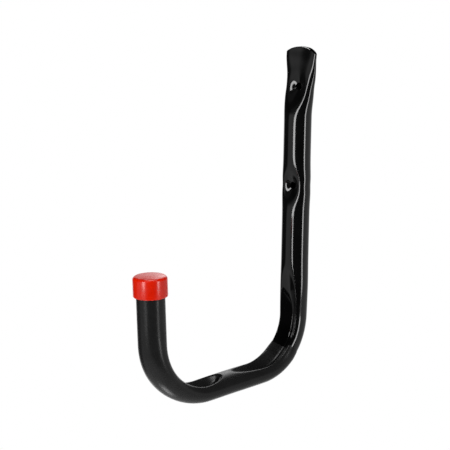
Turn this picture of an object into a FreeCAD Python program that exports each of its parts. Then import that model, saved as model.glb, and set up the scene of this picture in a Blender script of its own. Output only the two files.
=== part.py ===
import FreeCAD, Part
import Sketcher
import math
import os

# Garage utility hook: a round steel tube pressed and bent to a J, a thin sleeve drawn over
# the part that carries the load, and a soft cap pushed on the tip.
# The origin lies on the wall plane, midway between the two screw holes. X runs across the
# hook, Y into the wall and Z up, in millimetres.

# Driving sizes: name, value in millimetres or degrees, meaning. The depth of each pressing is
# a share of the tube diameter, so a thinner tube isn't pressed through.
SIZES = [
    ("tube_diameter", 20.0, "outside diameter of the round tube"),
    ("tube_wall", 1.2, "steel thickness"),
    ("leg_straight", 206.3, "top end to the start of the main bend"),
    ("main_radius_leg", 38.3, "centre line radius of the main bend's half at the leg"),
    ("main_radius_arm", 46.4, "centre line radius of the main bend's half at the arm"),
    ("main_turn", 87.1, "angle of the main bend"),
    ("arm_straight", 58.2, "straight run between the bends"),
    ("front_radius_arm", 55.4, "centre line radius of the front bend's half at the arm"),
    ("front_radius_tip", 44.2, "centre line radius of the front bend's half at the tip"),
    ("front_turn", 89.2, "angle of the front bend"),
    ("tip_straight", 49.2, "end of the front bend to the tube end"),
    ("hole_drop", 30.0, "top end to the upper screw hole"),
    ("hole_pitch", 76.0, "distance between the screw holes"),
    ("hole_diameter", 5.6, "screw hole"),
    ("end_arch", 25.0, "radius of the arched top end"),
    ("end_trim", 3.0, "tube left over above the arch before it is trimmed"),
    ("groove_depth", 0.076, "groove down the front of the leg"),
    ("groove_spread", 20.5, "half angle of the groove on the tube"),
    ("groove_lead", 30.0, "how far before the main bend the groove starts to run out"),
    ("groove_fade", 40.0, "length over which the groove runs out"),
    ("upper_dimple", 0.156, "front wall pressed in round the upper hole"),
    ("upper_reach", 13.0, "half length of the upper dimple"),
    ("lower_dimple", 0.142, "front wall pressed in round the lower hole"),
    ("lower_reach", 11.0, "half length of the lower dimple"),
    ("dimple_spread", 35.0, "half angle of both dimples"),
    ("dish_depth", 0.07, "small dish formed round each hole"),
    ("dish_reach", 5.0, "half length of the dish"),
    ("dish_spread", 22.0, "half angle of the dish"),
    ("end_dent", 0.166, "front wall pressed in at the flattened end"),
    ("end_spread", 54.0, "half angle of the end dent"),
    ("end_press", 0.328, "how far the front of the end is flattened back"),
    ("end_plateau", 7.5, "length of the fully flattened end"),
    ("end_fade", 39.0, "length over which the flattening runs out"),
    ("end_lift", 0.169, "how far the back of the end stands off the wall"),
    ("lift_fade", 18.0, "length over which the back comes to the wall above the upper hole"),
    ("leg_press", 0.073, "how far the front of the leg is flattened back"),
    ("arm_inner_press", 0.115, "how far the inner side of the arm is flattened"),
    ("arm_outer_press", 0.131, "how far the outer side of the arm is flattened"),
    ("arm_release", 0.57, "share of the front bend where the arm starts to turn round again"),
    ("arm_release_run", 0.6, "share of the front bend over which it turns round again"),
    ("main_fold", 0.24, "how deep the die cuts the inner side at the main bend"),
    ("main_fold_lead", 36.8, "how far the main fold starts before the bend"),
    ("main_fold_tail", 31.3, "how far the main fold runs past the bend"),
    ("main_mirror", 0.854, "depth of the main fold below the die over the wall that stood above it"),
    ("front_fold", 0.232, "how deep the die cuts the inner side at the front bend"),
    ("front_fold_lead", 24.1, "how far the front fold starts before the bend"),
    ("front_fold_stop", 15.8, "how far the front fold ends before the end of the bend"),
    ("front_mirror", 0.624, "depth of the front fold below the die over the wall that stood above it"),
    ("fold_edge", 0.6, "roundness of the fold's edges"),
    ("fold_clear", 4.0, "farthest distance of the die from an unfolded wall"),
    ("station_step", 4.0, "spacing of the sections along the tube"),
    ("crowding", 0.35, "how strongly section points gather on the pressed side"),
    ("sleeve_wall", 0.6, "thickness of the sleeve"),
    ("sleeve_gap", 0.05, "clearance between tube and sleeve"),
    ("sleeve_start_turn", 42.0, "angle of the main bend where the sleeve begins"),
    ("cap_wall", 1.9, "thickness of the cap wall"),
    ("cap_top", 2.6, "thickness of the closed cap end"),
    ("cap_height", 14.5, "overall height of the cap"),
    ("cap_gap", 0.05, "clearance between sleeve and cap"),
    ("cap_seat", 0.05, "clearance between the tube end and the closed cap end"),
    ("cap_top_round", 2.4, "outer edge of the closed end"),
    ("cap_lip_round", 0.8, "edges of the open lip"),
]

doc = FreeCAD.newDocument("garage_utility_hook")
sheet = doc.addObject("Spreadsheet::Sheet", "sizes")
for row, (name, value, meaning) in enumerate(SIZES, start=1):
    sheet.set(f"A{row}", name)
    sheet.set(f"B{row}", str(value))
    sheet.set(f"C{row}", meaning)
    sheet.setAlias(f"B{row}", name)
doc.recompute()


def size(name):
    """Value of one sheet cell."""
    return float(sheet.get(name))


def cell(name):
    """The same cell as an expression."""
    return f"<<sizes>>.{name}"


# Centre line of the tube

radius = size("tube_diameter") / 2
main_turn = math.radians(size("main_turn"))
front_turn = math.radians(size("front_turn"))
# each span has a length and the angle it turns through; a bend is two arcs that meet smoothly
SPANS = [
    (size("leg_straight"), 0.0),
    (size("main_radius_leg") * main_turn / 2, main_turn / 2),
    (size("main_radius_arm") * main_turn / 2, main_turn / 2),
    (size("arm_straight"), 0.0),
    (size("front_radius_arm") * front_turn / 2, front_turn / 2),
    (size("front_radius_tip") * front_turn / 2, front_turn / 2),
    (size("tip_straight"), 0.0),
]
ENDS = [sum(length for length, angle in SPANS[: i + 1]) for i in range(len(SPANS))]
LEG_END, MAIN_MIDDLE, MAIN_END, ARM_END, FRONT_MIDDLE, FRONT_END, TUBE_END = ENDS


def centre_line(along):
    """Point (y, z) and turned angle at a length along the tube from its top end."""
    y, z, turned, left = 0.0, 0.0, 0.0, along
    for length, angle in SPANS:
        step = min(left, length)
        bend = angle / length
        after = turned + bend * step
        if angle:
            y += (math.cos(after) - math.cos(turned)) / bend
            z -= (math.sin(after) - math.sin(turned)) / bend
        else:
            y -= math.sin(turned) * step
            z -= math.cos(turned) * step
        turned = after
        left -= step
    return y, z, turned


# Pressed section of the tube


def bell(x):
    """Rounded bump, 1 at its middle."""
    return math.exp(-x * x)


def ease(x):
    """Smooth rise from 0 to 1."""
    x = min(max(x, 0.0), 1.0)
    return x * x * (3 - 2 * x)


def pressed(name):
    """Depth of one pressing in millimetres."""
    return size(name) * size("tube_diameter")


def die_level(along):
    """How far the folding die reaches past the round wall, and how far the wall folds below it."""
    start = LEG_END - size("main_fold_lead")
    end = MAIN_END + size("main_fold_tail")
    deep, mirror = pressed("main_fold"), size("main_mirror")
    if along > (end + ARM_END - size("front_fold_lead")) / 2:
        start = ARM_END - size("front_fold_lead")
        end = FRONT_END - size("front_fold_stop")
        deep, mirror = pressed("front_fold"), size("front_mirror")
    place = (2 * along - start - end) / (end - start)
    return max(deep * (1 - place ** 4), -size("fold_clear")), mirror


def pressing(along):
    """Bumps (depth, half angle) pushed into the inner side, place of inner and outer side."""
    on_leg = 1 - ease((along - LEG_END + size("groove_lead")) / size("groove_fade"))
    at_end = 1 - ease((along - size("end_plateau")) / size("end_fade"))
    lifted = 1 - ease((along - size("end_plateau")) / size("lift_fade"))
    rise = ease((along - LEG_END) / (MAIN_END - LEG_END))
    front_length = FRONT_END - ARM_END
    release = size("arm_release") * front_length
    fall = ease((along - ARM_END - release) / (size("arm_release_run") * front_length))
    on_arm = rise * (1 - fall)
    upper = along - size("hole_drop")
    lower = upper - size("hole_pitch")
    dishes = bell(upper / size("dish_reach")) + bell(lower / size("dish_reach"))
    bumps = [
        (pressed("groove_depth") * on_leg, size("groove_spread")),
        (pressed("upper_dimple") * bell(upper / size("upper_reach")), size("dimple_spread")),
        (pressed("lower_dimple") * bell(lower / size("lower_reach")), size("dimple_spread")),
        (pressed("dish_depth") * dishes, size("dish_spread")),
        (pressed("end_dent") * at_end, size("end_spread")),
    ]
    flattened = pressed("leg_press") * on_leg + pressed("end_press") * at_end
    inner = flattened + pressed("arm_inner_press") * on_arm - radius
    outer = radius - pressed("end_lift") * lifted - pressed("arm_outer_press") * on_arm
    return bumps, inner, outer


POINTS = 56
FINE = 6


def folded_wall(along, grow):
    """Depth of the wall by angle, the skin moved outward by grow.

    The die folds the inner side: what stood above its level ends up mirrored below it.
    """
    bumps, inner, outer = pressing(along)
    reach, mirror = die_level(along)
    inner -= grow
    outer += grow
    level = reach - radius - grow

    def depth(angle):
        wall = (outer + inner) / 2 - (outer - inner) / 2 * math.cos(angle)
        above = level - wall
        fold = (above + math.hypot(above, size("fold_edge"))) / 2
        push = sum(d * bell(math.degrees(angle) / spread) for d, spread in bumps)
        return wall + push + (1 + mirror) * fold

    return depth


def outline(along, grow):
    """Section points, the skin moved outward by grow. The skin keeps the girth of the round tube."""
    angles = []
    for i in range(POINTS * FINE):
        even = -math.pi + 2 * math.pi * i / (POINTS * FINE)
        # points lie closer together on the pressed side
        angles.append(even - size("crowding") * math.sin(even))
    wall = folded_wall(along, 0.0)
    depth = [wall(angle) for angle in angles]
    low, high = 0.4 * radius, 1.9 * radius
    for halving in range(30):
        half_width = (low + high) / 2
        girth = 0.0
        for i in range(len(angles)):
            across = half_width * (math.sin(angles[i]) - math.sin(angles[i - 1]))
            girth += math.hypot(across, depth[i] - depth[i - 1])
        if girth > 2 * math.pi * radius:
            high = half_width
        else:
            low = half_width
    wall = folded_wall(along, grow)
    points = []
    for angle in angles[::FINE]:
        points.append(FreeCAD.Vector((half_width + grow) * math.sin(angle), wall(angle), 0))
    return points


def closed_curve(points):
    """Smooth closed curve. Even parameters give every section the same knots."""
    even = [i / len(points) for i in range(len(points) + 1)]
    curve = Part.BSplineCurve()
    curve.interpolate(Points=points, PeriodicFlag=True, Parameters=even)
    return curve


# Stations along the tube


sleeve_start = LEG_END + size("main_radius_leg") * math.radians(size("sleeve_start_turn"))


def stations(start, end):
    """Lengths from start to end. Tube and sleeve share them, counted from the sleeve's edge."""
    step = size("station_step")
    first = math.floor((start - sleeve_start) / step) + 1
    last = math.ceil((end - sleeve_start) / step)
    return [start] + [sleeve_start + step * i for i in range(first, last)] + [end]


def plane_of(body, role):
    """Origin plane of a body by its role."""
    return [f for f in body.Origin.OriginFeatures if f.Role == role][0]


def tube_skin(name, start, end, outside, inside):
    """Body lofted from section to section, each with an outer and an inner closed curve."""
    body = doc.addObject("PartDesign::Body", name)
    sections = []
    for number, along in enumerate(stations(start, end)):
        y, z, turned = centre_line(along)
        section = body.newObject("Sketcher::SketchObject", f"{name}_section_{number:03d}")
        section.AttachmentSupport = (plane_of(body, "XY_Plane"), [""])
        section.MapMode = "FlatFace"
        section.AttachmentOffset = FreeCAD.Placement(
            FreeCAD.Vector(0, y, z),
            FreeCAD.Rotation(FreeCAD.Vector(1, 0, 0), -math.degrees(turned)),
        )
        section.addGeometry(closed_curve(outline(along, outside)), False)
        section.addGeometry(closed_curve(outline(along, inside)), False)
        sections.append(section)
    doc.recompute()
    skin = body.newObject("PartDesign::AdditiveLoft", f"{name}_skin")
    skin.Profile = sections[0]
    skin.Sections = sections[1:]
    skin.Ruled = True
    skin.Refine = False
    doc.recompute()
    return body


def stand_on_wall(body):
    """The path starts at the top end on the tube axis: bring the wall and screws to the origin."""
    body.setExpression("Placement.Base.y", f"-{cell('tube_diameter')} / 2")
    body.setExpression("Placement.Base.z", f"{cell('hole_drop')} + {cell('hole_pitch')} / 2")


# Hook tube: pressed wall, screw holes, arched top end

tube = tube_skin("hook_tube", -size("end_trim"), TUBE_END, 0.0, -size("tube_wall"))

screw_sketch = tube.newObject("Sketcher::SketchObject", "screw_sketch")
screw_sketch.AttachmentSupport = (plane_of(tube, "XZ_Plane"), [""])
screw_sketch.MapMode = "FlatFace"
for number, drop in enumerate((cell("hole_drop"), f"{cell('hole_drop')} + {cell('hole_pitch')}")):
    middle = FreeCAD.Vector(0, -size("hole_drop") - number * size("hole_pitch"), 0)
    hole = Part.Circle(middle, FreeCAD.Vector(0, 0, 1), size("hole_diameter") / 2)
    index = screw_sketch.addGeometry(hole, False)
    screw_sketch.addConstraint(Sketcher.Constraint("PointOnObject", index, 3, -2))
    place = screw_sketch.addConstraint(
        Sketcher.Constraint("DistanceY", index, 3, -1, 1, size("hole_drop"))
    )
    screw_sketch.setExpression(f"Constraints[{place}]", drop)
    wide = screw_sketch.addConstraint(
        Sketcher.Constraint("Diameter", index, size("hole_diameter"))
    )
    screw_sketch.setExpression(f"Constraints[{wide}]", cell("hole_diameter"))
doc.recompute()
screw_holes = tube.newObject("PartDesign::Pocket", "screw_holes")
screw_holes.Profile = screw_sketch
screw_holes.Type = "ThroughAll"
screw_holes.SideType = "Symmetric"
screw_holes.Refine = False
doc.recompute()

arch_sketch = tube.newObject("Sketcher::SketchObject", "arch_sketch")
arch_sketch.AttachmentSupport = (plane_of(tube, "XZ_Plane"), [""])
arch_sketch.MapMode = "FlatFace"
bend = size("end_arch")
reach = size("tube_diameter")
corner = math.sqrt(bend * bend - reach * reach) - bend
centre = FreeCAD.Vector(0, -bend, 0)
up = FreeCAD.Vector(0, 0, 1)
half_angle = math.asin(reach / bend)
ring = Part.Circle(centre, up, bend)
arch_sketch.addGeometry(Part.ArcOfCircle(ring, math.pi / 2 - half_angle, math.pi / 2 + half_angle), False)
corners = [(-reach, corner), (-reach, reach / 4), (reach, reach / 4), (reach, corner)]
for begin, finish in zip(corners, corners[1:]):
    line = Part.LineSegment(FreeCAD.Vector(*begin, 0), FreeCAD.Vector(*finish, 0))
    arch_sketch.addGeometry(line, False)
joins = [(0, 2, 1, 1), (1, 2, 2, 1), (2, 2, 3, 1), (3, 2, 0, 1)]
for join in joins:
    arch_sketch.addConstraint(Sketcher.Constraint("Coincident", *join))
arch_sketch.addConstraint(Sketcher.Constraint("Vertical", 1))
arch_sketch.addConstraint(Sketcher.Constraint("Vertical", 3))
arch_sketch.addConstraint(Sketcher.Constraint("PointOnObject", 0, 3, -2))
arch_sketch.addConstraint(Sketcher.Constraint("Symmetric", 2, 1, 2, 2, -2))
arch_limits = [
    (Sketcher.Constraint("Radius", 0, bend), cell("end_arch")),
    (Sketcher.Constraint("DistanceY", 0, 3, -1, 1, bend), cell("end_arch")),
    (Sketcher.Constraint("DistanceX", 2, 1, 2, 2, 2 * reach), f"2 * {cell('tube_diameter')}"),
    (Sketcher.Constraint("DistanceY", -1, 1, 2, 1, reach / 4), f"{cell('tube_diameter')} / 4"),
]
for limit, rule in arch_limits:
    arch_sketch.setExpression(f"Constraints[{arch_sketch.addConstraint(limit)}]", rule)
doc.recompute()
arched_end = tube.newObject("PartDesign::Pocket", "arched_end")
arched_end.Profile = arch_sketch
arched_end.Type = "ThroughAll"
arched_end.SideType = "Symmetric"
arched_end.Refine = False
doc.recompute()
stand_on_wall(tube)

# Grip sleeve: a thin skin over the arm and tip that follows every dent

sleeve_inside = size("sleeve_gap")
sleeve_outside = sleeve_inside + size("sleeve_wall")
sleeve = tube_skin("grip_sleeve", sleeve_start, TUBE_END, sleeve_outside, sleeve_inside)
stand_on_wall(sleeve)

# End cap: a turned cup over the sleeved tip, its closed end against the tube

cap = doc.addObject("PartDesign::Body", "end_cap")
cap_sketch = cap.newObject("Sketcher::SketchObject", "cap_sketch")
cap_sketch.AttachmentSupport = (plane_of(cap, "XZ_Plane"), [""])
cap_sketch.MapMode = "FlatFace"
bore = radius + sleeve_outside + size("cap_gap")
rim = bore + size("cap_wall")
floor = size("cap_height") - size("cap_top")
profile = [
    (bore, 0),
    (rim, 0),
    (rim, size("cap_height")),
    (0, size("cap_height")),
    (0, floor),
    (bore, floor),
]
for begin, finish in zip(profile, profile[1:] + profile[:1]):
    line = Part.LineSegment(FreeCAD.Vector(*begin, 0), FreeCAD.Vector(*finish, 0))
    cap_sketch.addGeometry(line, False)
for edge in range(6):
    cap_sketch.addConstraint(Sketcher.Constraint("Coincident", edge, 2, (edge + 1) % 6, 1))
for edge in (0, 2, 4):
    cap_sketch.addConstraint(Sketcher.Constraint("Horizontal", edge))
for edge in (1, 3, 5):
    cap_sketch.addConstraint(Sketcher.Constraint("Vertical", edge))
cap_sketch.addConstraint(Sketcher.Constraint("PointOnObject", 2, 2, -2))
cap_sketch.addConstraint(Sketcher.Constraint("PointOnObject", 0, 1, -1))
bore_rule = (
    f"{cell('tube_diameter')} / 2 + {cell('sleeve_gap')} + {cell('sleeve_wall')} + {cell('cap_gap')}"
)
cap_limits = [
    (Sketcher.Constraint("DistanceX", -1, 1, 0, 1, bore), bore_rule),
    (Sketcher.Constraint("DistanceX", 0, 1, 0, 2, rim - bore), cell("cap_wall")),
    (Sketcher.Constraint("DistanceY", 1, 1, 1, 2, size("cap_height")), cell("cap_height")),
    (Sketcher.Constraint("DistanceY", 3, 2, 3, 1, size("cap_top")), cell("cap_top")),
]
for limit, rule in cap_limits:
    cap_sketch.setExpression(f"Constraints[{cap_sketch.addConstraint(limit)}]", rule)
doc.recompute()
cup = cap.newObject("PartDesign::Revolution", "cup")
cup.Profile = cap_sketch
cup.ReferenceAxis = (cap_sketch, ["V_Axis"])
cup.Angle = 360
doc.recompute()


def circles_at(feature, height, wide):
    """Names of the round edges of a turned feature at one height and radius."""
    names = []
    for number, edge in enumerate(feature.Shape.Edges, start=1):
        curve = edge.Curve
        if isinstance(curve, Part.Circle):
            level = abs(curve.Center.z - height) < 1e-6
            if level and abs(curve.Radius - wide) < 1e-6:
                names.append(f"Edge{number}")
    return names


top_round = cap.newObject("PartDesign::Fillet", "top_round")
top_round.Base = (cup, circles_at(cup, size("cap_height"), rim))
top_round.setExpression("Radius", cell("cap_top_round"))
doc.recompute()
lip_round = cap.newObject("PartDesign::Fillet", "lip_round")
lip_round.Base = (top_round, circles_at(top_round, 0, rim) + circles_at(top_round, 0, bore))
lip_round.setExpression("Radius", cell("cap_lip_round"))
doc.recompute()

tip_y, tip_z, tip_turned = centre_line(TUBE_END)
lean = math.pi - tip_turned
drop = floor - size("cap_seat")
cap.Placement = FreeCAD.Placement(
    FreeCAD.Vector(
        0,
        tip_y + math.sin(lean) * drop - radius,
        tip_z - math.cos(lean) * drop + size("hole_drop") + size("hole_pitch") / 2,
    ),
    FreeCAD.Rotation(FreeCAD.Vector(1, 0, 0), math.degrees(lean)),
)
doc.recompute()

# Every feature has to be sound before the parts are written

for thing in doc.Objects:
    for state in ("Invalid", "Error"):
        assert state not in thing.State, f"{thing.Name} is {thing.State}"

os.makedirs("parts", exist_ok=True)
for body in (tube, sleeve, cap):
    shape = body.Shape
    assert not shape.isNull() and shape.isValid(), body.Label
    assert len(shape.Solids) == 1, body.Label
    shape.exportStep(f"parts/{body.Label}.step")
    box = shape.BoundBox
    print(
        f"{body.Label}: {shape.Volume:.0f} mm3, x {box.XMin:.1f} to {box.XMax:.1f}, "
        f"y {box.YMin:.1f} to {box.YMax:.1f}, z {box.ZMin:.1f} to {box.ZMax:.1f}"
    )
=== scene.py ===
# %% [markdown]
# # A garage utility hook
# The object is a wall hook pressed and bent from one round steel tube. A thin vinyl sleeve covers
# the part that carries the load, and a red cap closes the tip. The solid parts are already packed
# in one frame, so this lesson loads them first and builds every smooth surface in the same place.
# The hook's lengths are written in millimetres, and each finished piece is scaled to metres.

# %% Load the frame
import bmesh
import bpy
import math
from mathutils import Matrix, Vector


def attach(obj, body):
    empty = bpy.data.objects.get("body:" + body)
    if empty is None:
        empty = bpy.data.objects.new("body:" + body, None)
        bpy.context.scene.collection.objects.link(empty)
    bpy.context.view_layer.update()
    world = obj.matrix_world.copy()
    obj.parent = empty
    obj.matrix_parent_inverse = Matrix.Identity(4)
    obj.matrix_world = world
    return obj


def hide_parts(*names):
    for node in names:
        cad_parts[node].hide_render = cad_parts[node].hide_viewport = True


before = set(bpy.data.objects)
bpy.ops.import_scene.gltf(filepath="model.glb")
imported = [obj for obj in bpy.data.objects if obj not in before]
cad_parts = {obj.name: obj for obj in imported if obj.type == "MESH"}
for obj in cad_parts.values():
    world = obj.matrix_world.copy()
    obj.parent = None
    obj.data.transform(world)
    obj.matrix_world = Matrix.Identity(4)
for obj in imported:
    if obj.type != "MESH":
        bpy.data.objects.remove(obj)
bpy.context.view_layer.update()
MM = 0.001
print("solid parts:", sorted(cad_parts))

# %% [markdown]
# ## The camera
# The photograph was taken with a long lens, from halfway between the front and the right-hand side
# of the hook as one faces the wall, and from a little above. Three directions describe the view: to
# the right, up, and back towards the lens. They become the columns of the camera's matrix, so no
# tracking target is needed. The roll tips the frame by less than a degree.

# %% Camera
VIEW_AZIMUTH = math.radians(43.0)
VIEW_HEIGHT = math.radians(10.98)
VIEW_ROLL = math.radians(0.94)
# focal length and width of the picture, both in pixels
LENS_PIXELS = 2300.0
FRAME_PIXELS = 450.0
SENSOR_WIDTH = 36.0
CLIP_NEAR, CLIP_FAR = 0.1, 50.0
# where the camera stands, from the start of the main bend along the view's own directions
BEND_START = Vector((0.0, -10.0, -138.3))
STAND_RIGHT, STAND_UP, STAND_BACK = -52.88, 67.69, 1779.5

level_right = Vector((math.cos(VIEW_AZIMUTH), math.sin(VIEW_AZIMUTH), 0.0))
towards_lens = Vector((
    math.sin(VIEW_AZIMUTH) * math.cos(VIEW_HEIGHT),
    -math.cos(VIEW_AZIMUTH) * math.cos(VIEW_HEIGHT),
    math.sin(VIEW_HEIGHT),
))
level_up = towards_lens.cross(level_right)
view_right = math.cos(VIEW_ROLL) * level_right + math.sin(VIEW_ROLL) * level_up
view_up = math.cos(VIEW_ROLL) * level_up - math.sin(VIEW_ROLL) * level_right
stand = BEND_START + STAND_RIGHT * view_right + STAND_UP * view_up + STAND_BACK * towards_lens

camera_data = bpy.data.cameras.new("photo_camera")
camera_data.sensor_width = SENSOR_WIDTH
camera_data.lens = SENSOR_WIDTH * LENS_PIXELS / FRAME_PIXELS
camera_data.clip_start = CLIP_NEAR
camera_data.clip_end = CLIP_FAR
camera = bpy.data.objects.new("photo_camera", camera_data)
turn = Matrix((view_right, view_up, towards_lens)).transposed().to_4x4()
camera.matrix_world = Matrix.Translation(stand * MM) @ turn
bpy.context.scene.collection.objects.link(camera)
bpy.context.scene.camera = camera
print("camera stands at", [round(v, 3) for v in camera.location])

# %% [markdown]
# ## The line of the tube
# The workshop starts with a straight tube and bends it twice. A length along the tube is therefore
# the natural way to name a place on it, and one function turns that length into a point on the
# centre line and the angle that the tube has turned through. The values are those of the solids.

# %% Centre line
RADIUS = 10.0
LEG, ARM, TIP = 206.3, 58.2, 49.2
MAIN_TURN, FRONT_TURN = math.radians(87.1), math.radians(89.2)
MAIN_RADII = (38.3, 46.4)
FRONT_RADII = (55.4, 44.2)
TOP_HEIGHT = 68.0
# each span has a length and the angle it turns through; a bend is two arcs
SPANS = [(LEG, 0.0)]
SPANS += [(bend * MAIN_TURN / 2, MAIN_TURN / 2) for bend in MAIN_RADII]
SPANS += [(ARM, 0.0)]
SPANS += [(bend * FRONT_TURN / 2, FRONT_TURN / 2) for bend in FRONT_RADII]
SPANS += [(TIP, 0.0)]
MAIN_END = LEG + sum(MAIN_RADII) * MAIN_TURN / 2
ARM_END = MAIN_END + ARM
FRONT_END = ARM_END + sum(FRONT_RADII) * FRONT_TURN / 2
TUBE_END = FRONT_END + TIP


def centre_line(along):
    """Y and Z in millimetres and turned angle at a length along the tube."""
    y, z, turned, left = -RADIUS, TOP_HEIGHT, 0.0, along
    for length, angle in SPANS:
        step = min(left, length)
        bend = angle / length
        after = turned + bend * step
        if angle:
            y += (math.cos(after) - math.cos(turned)) / bend
            z -= (math.sin(after) - math.sin(turned)) / bend
        else:
            y -= math.sin(turned) * step
            z -= math.cos(turned) * step
        turned = after
        left -= step
    return y, z, turned


print("tube length:", round(TUBE_END, 1), "mm")

# %% [markdown]
# ## The press
# A press tool works on the tube from the front of the leg and the top of the arm. It flattens the
# top end, and pushes a dimple and a small dish into the wall at each screw hole. On the inside of
# each bend a die folds the wall: what stood above the die's level ends up below it, and from the
# main bend on the fold closes to a crease between two straight flanks. One could sculpt these dents,
# but a formula keeps both sides alike, and the sleeve can follow the very same skin.

# %% Curves of the press
# what is pressed on the leg starts to fade this far before the main bend, and fades over this run
LEG_FADE, LEG_FADE_RUN = 30.0, 40.0


def bell(x):
    """Soft bump, 1 high at 0."""
    return math.exp(-x * x)


def ease(x):
    """Smooth step from 0 to 1."""
    x = min(max(x, 0.0), 1.0)
    return x * x * (3 - 2 * x)


def on_leg(along):
    """1 on the leg, fading to 0 round the start of the main bend."""
    return 1 - ease((along - LEG + LEG_FADE) / LEG_FADE_RUN)


def past_main_bend(along):
    """0 on the leg, rising to 1 at the end of the main bend."""
    return ease((along - LEG) / (MAIN_END - LEG))


print("the leg's pressing fades out at", round(LEG - LEG_FADE + LEG_FADE_RUN, 1), "mm")

# %% Dies of the folds
# roundness of a fold's edges, slope and roundness of the crease, and where the crease sets in
FOLD_EDGE = 0.8
CREASE_SLOPE, CREASE_ROUND = 0.95, 0.08
CREASE_START, CREASE_RUN = LEG - 26.0, 24.0
# start, end, depth of the die and share that is mirrored
MAIN_FOLD = (LEG - 38.0, MAIN_END + 38.5, 4.8, 0.854)
FRONT_FOLD = (ARM_END - 24.1, FRONT_END - 11.5, 4.64, 0.624)
# the die bites less on the leg than on the arm, and stays clear of the wall beyond the folds
DIE_ON_LEG, DIE_GAIN = 0.72, 0.28
DIE_CLEAR = -4.0


def die_level(along):
    """How far the die reaches past the round wall, and the share that folds below it."""
    on_front = along > (MAIN_FOLD[1] + FRONT_FOLD[0]) / 2
    start, end, deep, mirror = FRONT_FOLD if on_front else MAIN_FOLD
    place = (2 * along - start - end) / (end - start)
    deep *= DIE_ON_LEG + DIE_GAIN * past_main_bend(along)
    return max(deep * (1 - place ** 4), DIE_CLEAR), mirror


print("main fold:", [round(v, 1) for v in MAIN_FOLD[:2]], "mm along the tube")
print("front fold:", [round(v, 1) for v in FRONT_FOLD[:2]], "mm along the tube")

# %% Dents and flats
HOLE_DROPS = (30.0, 106.0)
HOLE_RADIUS = 2.8
# dents: depth, reach along the tube and half angle in degrees
UPPER_DIMPLE, LOWER_DIMPLE, DIMPLE_REACH, DIMPLE_ANGLE = 4.2, 5.2, 11.0, 35.0
DISH, DISH_REACH, DISH_ANGLE = 1.4, 5.0, 22.0
END_DENT, END_ANGLE = 3.32, 54.0
# the upper dimple lies a little below its hole
UPPER_SHIFT = 4.0
# flat top end: its length, the runs in which front, back and rim become round, and the depths
END_FLAT, FRONT_RUN, BACK_RUN, RIM_RUN = 7.5, 45.0, 18.0, 11.0
FRONT_PRESS, BACK_PRESS, RIM_PRESS = 7.72, 3.38, 1.3
LEG_PRESS = 0.3
# the arm is pressed from above and below, and that fades out in the front bend
ARM_ABOVE, ARM_BELOW = 2.3, 2.62
ARM_FADE, ARM_FADE_RUN = 0.57, 0.6


def pressing(along):
    """Dents (depth, half angle) on the inner side, and the place of the inner and outer side."""
    at_end = 1 - ease((along - END_FLAT) / FRONT_RUN)
    lifted = 1 - ease((along - END_FLAT) / BACK_RUN)
    at_rim = 1 - ease(along / RIM_RUN)
    bend = FRONT_END - ARM_END
    fall = ease((along - ARM_END - ARM_FADE * bend) / (ARM_FADE_RUN * bend))
    on_arm = past_main_bend(along) * (1 - fall)
    upper, lower = (along - drop for drop in HOLE_DROPS)
    dents = [
        (UPPER_DIMPLE * bell((upper - UPPER_SHIFT) / DIMPLE_REACH), DIMPLE_ANGLE),
        (LOWER_DIMPLE * bell(lower / DIMPLE_REACH), DIMPLE_ANGLE),
        (DISH * (bell(upper / DISH_REACH) + bell(lower / DISH_REACH)), DISH_ANGLE),
        (END_DENT * at_end, END_ANGLE),
    ]
    inner = LEG_PRESS * on_leg(along) + FRONT_PRESS * at_end + RIM_PRESS * at_rim
    inner = inner + ARM_ABOVE * on_arm - RADIUS
    outer = RADIUS - BACK_PRESS * lifted - ARM_BELOW * on_arm
    return dents, inner, outer


top_inner, top_outer = pressing(0.0)[1:]
print("the top end is pressed to", round(top_outer - top_inner - END_DENT, 2), "mm in its middle")

# %% [markdown]
# ### One section of the pressed tube
# A section is given by an angle that is 0 on the inside of the bends. Its depth comes from the dents
# and the folds. Steel sheet stretches little, so a section that is pushed in gets wider until its
# outline is as long as the round tube's. On the leg it is drawn a little longer. The width has no
# simple formula, so it is found by halving a range again and again.

# %% Depth of the wall
# on the outside of the bends, a place beyond every edge of a fold
NO_CREASE = 2.0
known_pressings = {}


def depth_of(along, angle, grow, creased=True):
    """Place of the wall, positive to the outside of the bends, the skin moved out by grow."""
    key = round(along, 2)
    if key not in known_pressings:
        known_pressings[key] = pressing(key) + die_level(key)
    dents, inner, outer, reach, mirror = known_pressings[key]
    middle, half = (outer + inner) / 2, (outer - inner) / 2 + grow
    wall = middle - half * math.cos(angle)
    level = reach - RADIUS - grow
    above = level - wall
    fold = (1 + mirror) * (above + math.hypot(above, FOLD_EDGE)) / 2
    if creased:
        # the flanks run down from the edges of the fold to a crease in its middle
        edge = 0.0
        if level > inner - grow:
            edge = math.sqrt(max(1 - ((middle - level) / half) ** 2, 0.0))
        out = NO_CREASE
        if abs(angle) < math.pi / 2:
            out = math.hypot(math.sin(angle), CREASE_ROUND)
        above = level + CREASE_SLOPE * RADIUS * (edge - out) - wall
        crease = (above + math.hypot(above, FOLD_EDGE)) / 2
        fold += (crease - fold) * ease((along - CREASE_START) / CREASE_RUN)
    push = sum(depth * bell(math.degrees(angle) / spread) for depth, spread in dents)
    return wall + push + fold


for drop in HOLE_DROPS:
    print("dent at", drop, "mm:", round(depth_of(drop, 0.0, 0.0) + RADIUS, 2), "mm deep")

# %% Width of the section
AROUND = 180
SAMPLES = [-math.pi + 2 * math.pi * i / AROUND for i in range(AROUND)]
LEG_DRAWN, DRAWN_START, DRAWN_RUN = 0.048, 20.0, 30.0
NARROWEST, WIDEST = 0.4 * RADIUS, 1.9 * RADIUS
HALVINGS = 24
known_widths = {}


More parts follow.
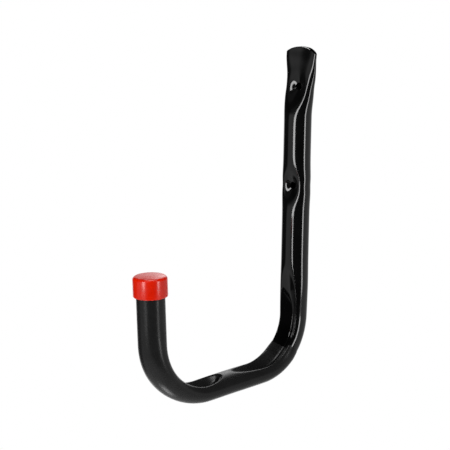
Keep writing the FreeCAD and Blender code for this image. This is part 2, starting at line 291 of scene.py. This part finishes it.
def half_width(along):
    """Half width at which the section, before its crease, has the length of outline it needs."""
    key = round(along, 2)
    if key not in known_widths:
        depths = [depth_of(key, angle, 0.0, False) for angle in SAMPLES]
        drawn = 1 + LEG_DRAWN * ease((key - DRAWN_START) / DRAWN_RUN) * on_leg(key)
        low, high = NARROWEST, WIDEST
        for halving in range(HALVINGS):
            middle = (low + high) / 2
            girth = sum(
                math.hypot(
                    middle * (math.sin(SAMPLES[i]) - math.sin(SAMPLES[i - 1])),
                    depths[i] - depths[i - 1],
                )
                for i in range(AROUND)
            )
            if girth > 2 * math.pi * RADIUS * drawn:
                high = middle
            else:
                low = middle
        known_widths[key] = (low + high) / 2
    return known_widths[key]


def skin_point(along, angle, grow):
    """Point of the pressed and bent skin in millimetres, moved out by grow."""
    x = (half_width(along) + grow) * math.sin(angle)
    depth = depth_of(along, angle, grow)
    y, z, turned = centre_line(along)
    return Vector((x, y + depth * math.cos(turned), z - depth * math.sin(turned)))


for drop in HOLE_DROPS:
    print("half width at", drop, "mm:", round(half_width(drop), 2), "mm")

# %% [markdown]
# ## A straight tube that gets pressed and bent
# The mesh is made as the real part is. A circle is extruded ring by ring into a straight tube whose
# height is the length along the hook. Each vertex keeps that length and its angle in two layers, so
# it can move to its place on the pressed and bent skin, and a copy of it to the inside of the wall.
# A Solidify modifier would be shorter, but its inner wall crosses itself at the sharp folds.

# %% Straight tube
# distance from a screw hole up to which a step between two rings is used
RING_STEPS = ((6.0, 0.7), (16.0, 1.2), (math.inf, 2.2))
# a last step shorter than this isn't taken
LAST_STEP = 0.5
CROWDING = 0.35


def ring_heights(start, end):
    """Places of the rings: close together near a screw hole, wider apart elsewhere."""
    heights = [start]
    while heights[-1] < end - LAST_STEP:
        near = min(abs(heights[-1] - drop) for drop in HOLE_DROPS)
        step = next(size for distance, size in RING_STEPS if near < distance)
        heights.append(min(heights[-1] + step, end))
    return heights


def straight_tube(start, end):
    """Open tube along Z as a bmesh whose vertices remember their length and angle."""
    bm = bmesh.new()
    bmesh.ops.create_circle(bm, segments=AROUND, radius=RADIUS, cap_ends=False)
    bmesh.ops.translate(bm, verts=bm.verts, vec=(0.0, 0.0, start))
    ring = list(bm.edges)
    heights = ring_heights(start, end)
    for low, high in zip(heights, heights[1:]):
        made = bmesh.ops.extrude_edge_only(bm, edges=ring)["geom"]
        verts = {g for g in made if isinstance(g, bmesh.types.BMVert)}
        bmesh.ops.translate(bm, verts=list(verts), vec=(0.0, 0.0, high - low))
        edges = [g for g in made if isinstance(g, bmesh.types.BMEdge)]
        ring = [edge for edge in edges if verts.issuperset(edge.verts)]
    length_layer = bm.verts.layers.float.new("length_along")
    angle_layer = bm.verts.layers.float.new("angle_round")
    for vert in bm.verts:
        even = math.atan2(vert.co.x, -vert.co.y)
        vert[length_layer] = vert.co.z
        # the vertices crowd to the inner side, where the press works
        vert[angle_layer] = even - CROWDING * math.sin(even)
    return bm, length_layer, angle_layer


print("the tube gets", len(ring_heights(0.0, TUBE_END)), "rings of", AROUND, "vertices")

# %% Wall, piece and rims
RIM_SEGMENTS, RIM_ANGLE = 2, 55.0


def give_wall(bm, length_layer, angle_layer, grow):
    """Add an inner skin and join it to the outer one along every open edge."""
    rims = [edge for edge in bm.edges if edge.is_boundary]
    copied = bmesh.ops.duplicate(bm, geom=list(bm.verts) + list(bm.edges) + list(bm.faces))
    inner_verts = [g for g in copied["geom"] if isinstance(g, bmesh.types.BMVert)]
    inner_faces = [g for g in copied["geom"] if isinstance(g, bmesh.types.BMFace)]
    bmesh.ops.reverse_faces(bm, faces=inner_faces)
    for vert in inner_verts:
        vert.co = skin_point(vert[length_layer], vert[angle_layer], grow)
    pairs = copied["edge_map"]
    loops = []
    left = set(rims)
    while left:
        loop, queue = set(), [left.pop()]
        while queue:
            edge = queue.pop()
            loop.add(edge)
            near = {e for v in edge.verts for e in v.link_edges if e in left}
            left -= near
            queue += near
        loops.append(loop)
    for loop in loops:
        bmesh.ops.bridge_loops(bm, edges=list(loop) + [pairs[edge] for edge in loop])
    print("wall joined along", len(loops), "rims")


def as_piece(bm, name):
    """Turn a form in millimetres into a smooth shaded object in metres."""
    bmesh.ops.scale(bm, verts=bm.verts, vec=(MM, MM, MM))
    bmesh.ops.recalc_face_normals(bm, faces=bm.faces)
    for face in bm.faces:
        face.smooth = True
    mesh = bpy.data.meshes.new(name)
    bm.to_mesh(mesh)
    bm.free()
    piece = bpy.data.objects.new(name, mesh)
    bpy.context.scene.collection.objects.link(piece)
    print(name, "has", len(mesh.polygons), "faces")
    return piece


def soften_rims(piece, width):
    """Round the sharp edges where a wall ends."""
    rim = piece.modifiers.new("rim", "BEVEL")
    rim.width = width * MM
    rim.segments = RIM_SEGMENTS
    rim.limit_method = "ANGLE"
    rim.angle_limit = math.radians(RIM_ANGLE)
    rim.harden_normals = True
    print(piece.name, "has rims rounded by", width, "mm")


print("edges sharper than", RIM_ANGLE, "degrees count as rims")

# %% [markdown]
# ## The hook tube
# The hook is one tube from the top of the leg to the tip. The top end is cut to a shallow arch. A
# knife cut would leave uneven faces there, so the first rings slide down at their sides instead.

# %% Hook tube
TUBE_WALL, TUBE_RIM = 1.2, 0.25
END_ARCH = 25.0
ARCH_RUN = 24.0

hook, hook_length, hook_angle = straight_tube(0.0, TUBE_END)
for vert in hook.verts:
    along = vert[hook_length]
    if along < ARCH_RUN:
        side = half_width(along) * math.sin(vert[hook_angle])
        drop = END_ARCH - math.sqrt(END_ARCH ** 2 - side ** 2)
        vert[hook_length] = along + drop * (1 - along / ARCH_RUN)
    vert.co = skin_point(vert[hook_length], vert[hook_angle], 0.0)
print("outer skin of the hook:", len(hook.faces), "faces")

# %% [markdown]
# ### Screw holes
# The screws pass through both walls of the leg. A Boolean modifier could cut the holes, but it leaves
# long thin faces round them. Here the faces inside each circle are deleted, and the edge that is left
# moves onto the circle while it stays on the pressed skin. The wall comes last, so each hole gets a
# rim as thick as the steel.

# %% Screw holes
ends = {edge for edge in hook.edges if edge.is_boundary}
for drop in HOLE_DROPS:
    height = TOP_HEIGHT - drop
    inside = []
    for face in hook.faces:
        middle = face.calc_center_median()
        if math.hypot(middle.x, middle.z - height) < HOLE_RADIUS:
            inside.append(face)
    bmesh.ops.delete(hook, geom=inside, context="FACES")
    rim = {v for e in hook.edges if e.is_boundary and e not in ends for v in e.verts}
    for vert in rim:
        away = Vector((vert.co.x, vert.co.z - height))
        # the rim of the other hole lies further off
        if away.length > 2 * HOLE_RADIUS:
            continue
        away = away.normalized() * HOLE_RADIUS
        at_back = abs(vert[hook_angle]) > math.pi / 2
        turned = math.asin(away.x / half_width(drop - away.y))
        vert[hook_length] = drop - away.y
        vert[hook_angle] = math.pi - turned if at_back else turned
        vert.co = skin_point(vert[hook_length], vert[hook_angle], 0.0)
give_wall(hook, hook_length, hook_angle, -TUBE_WALL)
hook_piece = as_piece(hook, "hook_tube_skin")
soften_rims(hook_piece, TUBE_RIM)

# %% [markdown]
# ## The grip sleeve
# The sleeve is a shrunk vinyl tube that follows every fold of the steel below, so it is the same skin
# moved outward by its own thickness. A Shrinkwrap modifier could lay a plain tube on the steel, but
# it would bridge the creases. The sleeve starts part of the way round the main bend, with a thin lip.

# %% Grip sleeve
SLEEVE_WALL, SLEEVE_GAP, SLEEVE_RIM = 0.6, 0.05, 0.06
SLEEVE_TURN = math.radians(42.0)
SLEEVE_START = LEG + MAIN_RADII[0] * SLEEVE_TURN
LIP_SHARE, LIP_RUN = 0.25, 6.0

sleeve, sleeve_length, sleeve_angle = straight_tube(SLEEVE_START, TUBE_END)
for vert in sleeve.verts:
    along = vert[sleeve_length]
    lip = LIP_SHARE + (1 - LIP_SHARE) * ease((along - SLEEVE_START) / LIP_RUN)
    vert.co = skin_point(along, vert[sleeve_angle], SLEEVE_GAP + SLEEVE_WALL * lip)
give_wall(sleeve, sleeve_length, sleeve_angle, SLEEVE_GAP)
sleeve_piece = as_piece(sleeve, "grip_sleeve_skin")
soften_rims(sleeve_piece, SLEEVE_RIM)

# %% [markdown]
# ## The end cap
# The cap is a moulded cup, pushed over the sleeved tip. A bevelled cylinder with a Boolean bore would
# do, but a cup is round, so a spin is simpler: half of its outline is drawn as a row of vertices, the
# corners are rounded with a vertex bevel, and a full turn makes the cup.

# %% End cap
CAP_GAP, CAP_WALL, CAP_TOP = 0.05, 2.1, 2.6
CAP_BORE = RADIUS + SLEEVE_GAP + SLEEVE_WALL + CAP_GAP
CAP_RIM = CAP_BORE + CAP_WALL
CAP_HEIGHT = 15.2
CAP_FLOOR = CAP_HEIGHT - CAP_TOP
TOP_ROUND, RIM_ROUND = 2.4, 0.8
ROUND_SEGMENTS, SPIN_STEPS = 6, 96
WELD = 0.001

cup = bmesh.new()
outline = [(0.0, CAP_FLOOR), (CAP_BORE, CAP_FLOOR), (CAP_BORE, 0.0), (CAP_RIM, 0.0)]
outline += [(CAP_RIM, CAP_HEIGHT), (0.0, CAP_HEIGHT)]
dots = [cup.verts.new((x, 0.0, z)) for x, z in outline]
for first, second in zip(dots, dots[1:]):
    cup.edges.new((first, second))
for corner, soft in ((dots[4], TOP_ROUND), (dots[3], RIM_ROUND), (dots[2], RIM_ROUND)):
    bmesh.ops.bevel(
        cup, geom=[corner], offset=soft, offset_type="OFFSET", segments=ROUND_SEGMENTS,
        profile=0.5, affect="VERTICES", material=-1,
    )
bmesh.ops.spin(
    cup, geom=list(cup.verts) + list(cup.edges), cent=(0, 0, 0), axis=(0, 0, 1),
    angle=2 * math.pi, steps=SPIN_STEPS, use_merge=True,
)
bmesh.ops.remove_doubles(cup, verts=cup.verts, dist=WELD)
tip_y, tip_z, tip_turned = centre_line(TUBE_END)
lean = math.pi - tip_turned
seat = Matrix.Translation((0.0, tip_y, tip_z)) @ Matrix.Rotation(lean, 4, "X")
seat = seat @ Matrix.Translation((0.0, 0.0, CAP_GAP - CAP_FLOOR))
bmesh.ops.transform(cup, matrix=seat, verts=cup.verts)
cap_piece = as_piece(cup, "end_cap_skin")

# %% [markdown]
# ## Pieces take the place of the solids
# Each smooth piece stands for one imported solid, which stays for collision. The hook has no joints, so
# all three pieces ride on its one body. They differ a little from the solids: the folds are deeper and
# longer, the leg is fuller, and the cap is taller.

# %% Pieces take the place of the solids
for piece, node, slot in (
    (hook_piece, "hook_tube", "black_paint"),
    (sleeve_piece, "grip_sleeve", "sleeve_vinyl"),
    (cap_piece, "end_cap", "red_cap"),
):
    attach(piece, "root")
    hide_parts(node)
    print(piece.name, "stands for", node)

# %% [markdown]
# ## Finishes
# Each finish starts from the same three needs: a colour that drifts a little, a roughness that
# drifts a little, and a fine relief. Painted image textures would need unwrapped pieces, so noise on
# Object coordinates gives all three, at a scale in features per metre.

# %% Finish helpers
RAMP_LOW, RAMP_HIGH = 0.3, 0.7
COLOUR_DETAIL, ROUGH_DETAIL, RELIEF_DETAIL = 3.0, 4.0, 2.0
RELIEF_STRENGTH = 0.3


def drifting(nodes, links, scale, detail, low, high):
    """Noise of one scale, spread between two values by a colour ramp."""
    place = nodes.new("ShaderNodeTexCoord")
    noise = nodes.new("ShaderNodeTexNoise")
    noise.inputs["Scale"].default_value = scale
    noise.inputs["Detail"].default_value = detail
    ramp = nodes.new("ShaderNodeValToRGB")
    ramp.color_ramp.elements[0].position = RAMP_LOW
    ramp.color_ramp.elements[1].position = RAMP_HIGH
    ramp.color_ramp.elements[0].color = low
    ramp.color_ramp.elements[1].color = high
    links.new(place.outputs["Object"], noise.inputs["Vector"])
    links.new(noise.outputs["Fac"], ramp.inputs["Fac"])
    return ramp.outputs["Color"]


def grey(level):
    """Opaque grey of one level."""
    return (level, level, level, 1.0)


def finish(name, colours, colour_scale, rough, rough_scale, relief_scale, relief_height):
    """Material with drifting colour and roughness and a fine relief, its height in millimetres."""
    material = bpy.data.materials.new(name)
    material.use_nodes = True
    nodes, links = material.node_tree.nodes, material.node_tree.links
    shader = nodes["Principled BSDF"]
    colour = drifting(nodes, links, colour_scale, COLOUR_DETAIL, *colours)
    links.new(colour, shader.inputs["Base Color"])
    roughness = drifting(nodes, links, rough_scale, ROUGH_DETAIL, grey(rough[0]), grey(rough[1]))
    links.new(roughness, shader.inputs["Roughness"])
    relief = drifting(nodes, links, relief_scale, RELIEF_DETAIL, grey(0.0), grey(1.0))
    bump = nodes.new("ShaderNodeBump")
    bump.inputs["Strength"].default_value = RELIEF_STRENGTH
    bump.inputs["Distance"].default_value = relief_height * MM
    links.new(relief, bump.inputs["Height"])
    links.new(bump.outputs["Normal"], shader.inputs["Normal"])
    print("finish", name, "with roughness", rough)
    return material, shader


print("noise is spread between", RAMP_LOW, "and", RAMP_HIGH)

# %% [markdown]
# ### Black paint
# The tube is sprayed with gloss enamel. It is almost black, and what one sees of it is nearly all
# reflection, so the roughness stays low, and the relief is the faint orange peel of sprayed paint.

# %% Black paint
paint, paint_shader = finish(
    "gloss_black_enamel",
    colours=((0.002, 0.002, 0.002, 1.0), (0.004, 0.004, 0.0042, 1.0)), colour_scale=60.0,
    rough=(0.07, 0.13), rough_scale=180.0, relief_scale=420.0, relief_height=0.012,
)
paint_shader.inputs["IOR"].default_value = 1.55
hook_piece.data.materials.append(paint)

# %% [markdown]
# ### Sleeve vinyl
# The sleeve is satin: its highlights are broad and soft, with a fine grain. A specular level below
# the default keeps it from looking like paint.

# %% Sleeve vinyl
vinyl, vinyl_shader = finish(
    "satin_black_vinyl",
    colours=((0.0125, 0.0125, 0.0125, 1.0), (0.016, 0.016, 0.0163, 1.0)), colour_scale=90.0,
    rough=(0.23, 0.30), rough_scale=240.0, relief_scale=1400.0, relief_height=0.015,
)
vinyl_shader.inputs["Specular IOR Level"].default_value = 0.28
sleeve_piece.data.materials.append(vinyl)

# %% [markdown]
# ### Red cap
# The cap is moulded vinyl in a warm red. It is glossy but rougher than the paint, so its highlights
# have soft edges.

# %% Red cap
red, red_shader = finish(
    "gloss_red_vinyl",
    colours=((0.84, 0.013, 0.0, 1.0), (0.92, 0.018, 0.001, 1.0)), colour_scale=120.0,
    rough=(0.20, 0.30), rough_scale=200.0, relief_scale=600.0, relief_height=0.02,
)
red_shader.inputs["Specular IOR Level"].default_value = 0.55
cap_piece.data.materials.append(red)

# %% [markdown]
# ## The studio floor
# The hook is seen on white. A pale disc lies well below it, and Light Path tells which kind of ray
# meets the disc: the camera's rays see plain white, mirrored rays see the pale paint with a small
# share of that white, and all other rays see the paint alone. More light on the floor would make it
# white too, but it would also light the hook from below.

# %% Floor
FLOOR_RADIUS, FLOOR_HEIGHT = 0.75, -0.75
FLOOR_SEGMENTS = 64
FLOOR_GREY, FLOOR_ROUGHNESS = 0.9, 0.9
MIRRORED_SHARE = 0.15

floor_mesh = bpy.data.meshes.new("studio_floor")
floor_form = bmesh.new()
bmesh.ops.create_circle(floor_form, segments=FLOOR_SEGMENTS, radius=FLOOR_RADIUS, cap_ends=True)
bmesh.ops.translate(floor_form, verts=floor_form.verts, vec=(0.0, 0.0, FLOOR_HEIGHT))
floor_form.to_mesh(floor_mesh)
floor_form.free()
floor = bpy.data.objects.new("studio_floor", floor_mesh)
bpy.context.scene.collection.objects.link(floor)
print("floor lies at", FLOOR_HEIGHT, "m")

# %% Floor paint
floor_paint = bpy.data.materials.new("pale_floor")
floor_paint.use_nodes = True
nodes, links = floor_paint.node_tree.nodes, floor_paint.node_tree.links
floor_shader = nodes["Principled BSDF"]
floor_shader.inputs["Base Color"].default_value = grey(FLOOR_GREY)
floor_shader.inputs["Roughness"].default_value = FLOOR_ROUGHNESS
glow = nodes.new("ShaderNodeEmission")
ray = nodes.new("ShaderNodeLightPath")
mix = nodes.new("ShaderNodeMixShader")
white_share = nodes.new("ShaderNodeMath")
white_share.operation = "MULTIPLY_ADD"
white_share.use_clamp = True
white_share.inputs[1].default_value = MIRRORED_SHARE
links.new(ray.outputs["Is Glossy Ray"], white_share.inputs[0])
links.new(ray.outputs["Is Camera Ray"], white_share.inputs[2])
links.new(white_share.outputs[0], mix.inputs["Fac"])
links.new(floor_shader.outputs["BSDF"], mix.inputs[1])
links.new(glow.outputs["Emission"], mix.inputs[2])
links.new(mix.outputs["Shader"], nodes["Material Output"].inputs["Surface"])
floor.data.materials.append(floor_paint)
print("floor paint:", floor_paint.name)

# %% [markdown]
# ## The room
# Gloss paint mirrors the room, so the room decides how the hook looks. The camera's rays see white
# everywhere. All other rays see grey walls with a white backdrop opposite the lens, dark behind the
# lens and on the far left, and a dim ceiling, as in a real studio. A photograph of a studio could
# light the scene as well, but a few soft fades need no file.

# %% World helpers
world = bpy.data.worlds.new("studio")
bpy.context.scene.world = world
world.use_nodes = True
room_nodes, room_links = world.node_tree.nodes, world.node_tree.links
ray_direction = room_nodes.new("ShaderNodeTexCoord").outputs["Generated"]


def facing(direction):
    """Cosine of the angle between a ray and a direction."""
    node = room_nodes.new("ShaderNodeVectorMath")
    node.operation = "DOT_PRODUCT"
    node.inputs[1].default_value = tuple(direction)
    room_links.new(ray_direction, node.inputs[0])
    return node.outputs["Value"]


def fade(value, start, end, low, high):
    """Level that goes smoothly from low to high while a value goes from start to end."""
    node = room_nodes.new("ShaderNodeMapRange")
    node.interpolation_type = "SMOOTHSTEP"
    node.inputs["From Min"].default_value = start
    node.inputs["From Max"].default_value = end
    node.inputs["To Min"].default_value = low
    node.inputs["To Max"].default_value = high
    room_links.new(value, node.inputs["Value"])
    return node.outputs["Result"]


def joined(operation, first, second):
    """Two levels joined by a Math node."""
    node = room_nodes.new("ShaderNodeMath")
    node.operation = operation
    room_links.new(first, node.inputs[0])
    room_links.new(second, node.inputs[1])
    return node.outputs[0]


print("world:", world.name)

# %% World
# each part of the room: the two angles between which its level changes, and the two levels
LENS_END, LENS_LEVELS = (math.radians(62.0), math.radians(44.0)), (1.0, 0.04)
LEFT_WALL, LEFT_LEVELS = (math.radians(58.0), math.radians(46.0)), (0.42, 0.02)
CEILING, CEILING_LEVELS = (math.radians(2.0), math.radians(16.0)), (1.0, 0.15)
BACKDROP, BACKDROP_LEVELS = (math.radians(25.0), math.radians(40.0)), (1.0, 0.0)
LEFT_TURN = math.radians(-138.0)

far_left = Matrix.Rotation(LEFT_TURN, 3, "Z") @ towards_lens
to_lens = facing(towards_lens)
to_left = facing(far_left)
height = room_nodes.new("ShaderNodeSeparateXYZ")
room_links.new(ray_direction, height.inputs[0])
dark_end = fade(to_lens, *[math.cos(a) for a in LENS_END], *LENS_LEVELS)
dark_side = fade(to_left, *[math.cos(a) for a in LEFT_WALL], *LEFT_LEVELS)
overhead = fade(height.outputs["Z"], *[math.sin(a) for a in CEILING], *CEILING_LEVELS)
backdrop = fade(to_lens, *[-math.cos(a) for a in BACKDROP], *BACKDROP_LEVELS)
walls = joined("MULTIPLY", joined("MULTIPLY", dark_end, dark_side), overhead)
room_light = joined("MAXIMUM", walls, backdrop)

seen = room_nodes.new("ShaderNodeMix")
seen.data_type = "FLOAT"
seen.inputs["B"].default_value = 1.0
ray = room_nodes.new("ShaderNodeLightPath")
room_links.new(room_light, seen.inputs["A"])
room_links.new(ray.outputs["Is Camera Ray"], seen.inputs["Factor"])
room = room_nodes["Background"]
room.inputs["Color"].default_value = grey(1.0)
room_links.new(seen.outputs["Result"], room.inputs["Strength"])
print("the room has", len(room_nodes), "nodes")

# %% [markdown]
# ## The lamps
# Two tall soft boxes make the long lines of light on the leg: one in front of the hook and one on its
# right. Three square ones finish the bends: one behind the hook on its left, one above the tip and
# one below the arm. Point lamps would only give small dots in gloss paint, while an area lamp shows
# its whole shape.

# %% Soft boxes
BOX_STAND = Vector((0.0, -0.085, 0.15))
BOX_DISTANCE, BOX_TALL = 1.3, 1.2
ARM_MIDDLE = Vector((0.0, -0.1, -0.17))


def soft_box(name, place, aim, wide, tall, power):
    """Rectangular lamp at a place in metres that shines along a direction."""
    data = bpy.data.lights.new(name, "AREA")
    data.shape = "RECTANGLE"
    data.size = wide
    data.size_y = tall
    data.energy = power
    lamp = bpy.data.objects.new(name, data)
    lamp.location = place
    lamp.rotation_mode = "QUATERNION"
    lamp.rotation_quaternion = aim.to_track_quat("-Z", "Y")
    bpy.context.scene.collection.objects.link(lamp)
    print(name, "stands at", [round(v, 2) for v in place], "with", power, "W")


# azimuth in degrees, 0 along -Y and 90 along +X, then width and power
for name, azimuth, wide, power in (("front_box", 2.0, 0.34, 11.2), ("side_box", 97.0, 0.22, 6.8)):
    swing = math.radians(azimuth)
    out = Vector((math.sin(swing), -math.cos(swing), 0.0))
    soft_box(name, BOX_STAND + out * BOX_DISTANCE, -out, wide, BOX_TALL, power)

# place, width and power of the square boxes, which face the arm
for name, place, wide, power in (
    ("back_box", Vector((-0.62, 0.76, 0.39)), 0.45, 1.0),
    ("top_box", Vector((0.0, -0.17, 0.4)), 0.2, 0.8),
    ("low_box", Vector((-0.21, -0.11, -0.706)), 0.14, 0.22),
):
    soft_box(name, place, ARM_MIDDLE - place, wide, wide, power)
bpy.context.scene.view_settings.view_transform = "Standard"
